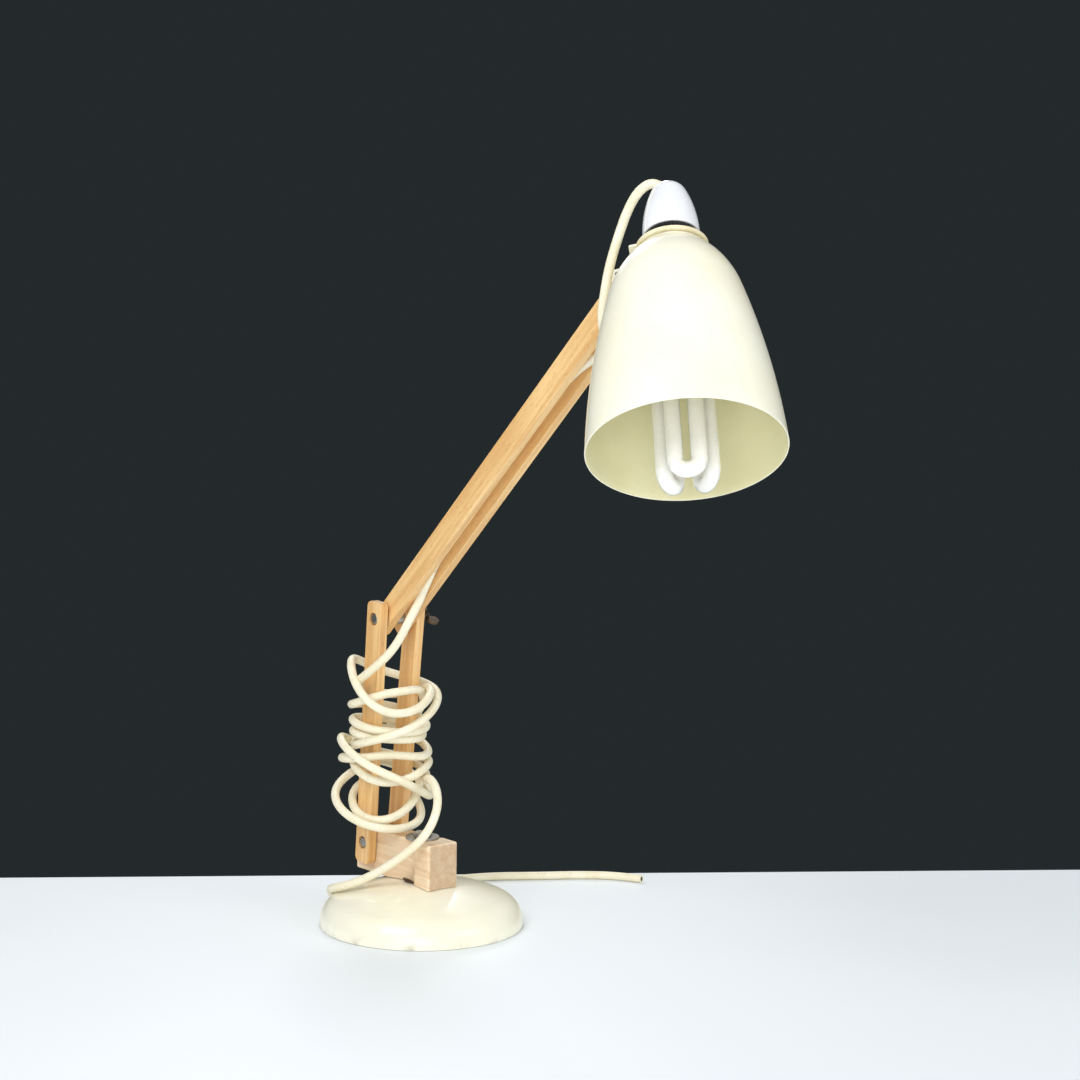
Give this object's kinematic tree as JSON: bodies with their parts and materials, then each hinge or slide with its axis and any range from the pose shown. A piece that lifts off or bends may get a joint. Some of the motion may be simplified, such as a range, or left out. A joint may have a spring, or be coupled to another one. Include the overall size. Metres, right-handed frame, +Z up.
{
  "type": "balanced-arm desk lamp",
  "caption": "Desk lamp with a domed round base, a turning wooden block, two pairs of wooden bars with friction bolts and a tilting enamelled shade, its flex wound round the lower bars",
  "frame": {"origin": "centre of the base's underside, on the table; it is the lowest plane of the lamp and lies on the swivel's axis", "axes": "+Z up; +X the side that both arms reach to from the elbow, so the arms lie in the XZ plane; +Y from the near bars to the far bars, the side with the wing nuts"},
  "size_m": [0.5205, 0.3573, 0.6056],
  "materials": {
    "ivory_enamel": "stove-enamelled warm ivory steel, satin gloss",
    "cast_ballast": "rough cast, blackened",
    "felt": "dark felt",
    "zinc_steel": "zinc-plated steel",
    "brass_pin": "plain brass",
    "friction_fibre": "pressed fibre washer",
    "pale_wood": "close-grained pale hardwood, clear satin varnish",
    "bar_wood": "straight-grained golden wood, clear satin varnish",
    "bronzed_steel": "dull brown-grey plated steel",
    "white_plastic": "white thermoset plastic, smooth",
    "black_plastic": "black moulded plastic",
    "cream_plastic": "cream moulded plastic",
    "bulb_plastic": "off-white heat-resistant plastic",
    "bulb_glass": "phosphor-coated glass tube",
    "aluminium_cap": "drawn aluminium",
    "cord_vinyl": "ivory flexible sheath, slightly aged"
  },
  "bodies": {
    "base": {"base_shell": "ivory_enamel", "ballast_weight": "cast_ballast", "base_felt": "felt", "swivel_bolt": "zinc_steel", "swivel_nut": "zinc_steel", "swivel_spring_washer": "zinc_steel", "swivel_washer": "zinc_steel", "swivel_friction_washer": "friction_fibre"},
    "turret": {"pivot_block": "pale_wood", "cord_floor": "cord_vinyl", "cord_tail": "cord_vinyl"},
    "lower_arm": {"lower_bar_near": "bar_wood", "lower_bar_far": "bar_wood", "lower_pivot_bolt": "zinc_steel", "lower_pivot_nut": "zinc_steel", "lower_pivot_washers": "zinc_steel", "elbow_bolt": "zinc_steel", "elbow_outer_washer": "zinc_steel", "cord_winding": "cord_vinyl"},
    "upper_arm": {"upper_bar_near": "bar_wood", "upper_bar_far": "bar_wood", "elbow_washers": "zinc_steel", "elbow_sleeve": "zinc_steel", "head_bolt": "zinc_steel", "head_outer_washer": "zinc_steel", "head_spacers": "zinc_steel", "cord_arm": "cord_vinyl", "cord_elbow": "cord_vinyl"},
    "head": {"shade_bracket": "ivory_enamel", "bracket_rivet": "zinc_steel", "shade": "ivory_enamel", "lampholder_body": "black_plastic", "lampholder_cap": "white_plastic", "seating_ring": "cream_plastic", "shade_ring": "black_plastic", "terminal_block": "white_plastic", "cord_grip": "black_plastic", "contact_pins": "brass_pin", "bulb_cap": "aluminium_cap", "bulb_housing": "bulb_plastic", "bulb_tubes": "bulb_glass", "cord_head": "cord_vinyl"},
    "elbow_knob": {"elbow_wing_nut": "bronzed_steel"},
    "head_knob": {"head_wing_nut": "bronzed_steel"}
  },
  "joints": [
    {"name": "base_swivel", "type": "hinge", "parent": "base", "child": "turret", "pos_m": [0, 0, 0], "axis": [0, 0, 1], "range_deg": [-170, 170]},
    {"name": "lower_tilt", "type": "hinge", "parent": "turret", "child": "lower_arm", "pos_m": [-0.0575, 0, 0.061], "axis": [0, 1, 0], "range_deg": [-35, 15], "deforming": ["cord_tail"]},
    {"name": "elbow", "type": "hinge", "parent": "lower_arm", "child": "upper_arm", "pos_m": [-0.03997, 0, 0.2536], "axis": [0, -1, 0], "range_deg": [-50, 40], "deforming": ["cord_elbow"]},
    {"name": "head_tilt", "type": "hinge", "parent": "upper_arm", "child": "head", "pos_m": [0.23857, 0, 0.51793], "axis": [0, -1, 0], "range_deg": [-40, 55], "deforming": ["cord_head"]},
    {"name": "elbow_nut_turn", "type": "hinge", "parent": "lower_arm", "child": "elbow_knob", "pos_m": [-0.03997, 0, 0.2536], "axis": [0, 1, 0], "range_deg": [-180, 180]},
    {"name": "head_nut_turn", "type": "hinge", "parent": "upper_arm", "child": "head_knob", "pos_m": [0.23857, 0, 0.51793], "axis": [0, 1, 0], "range_deg": [-180, 180]}
  ]
}
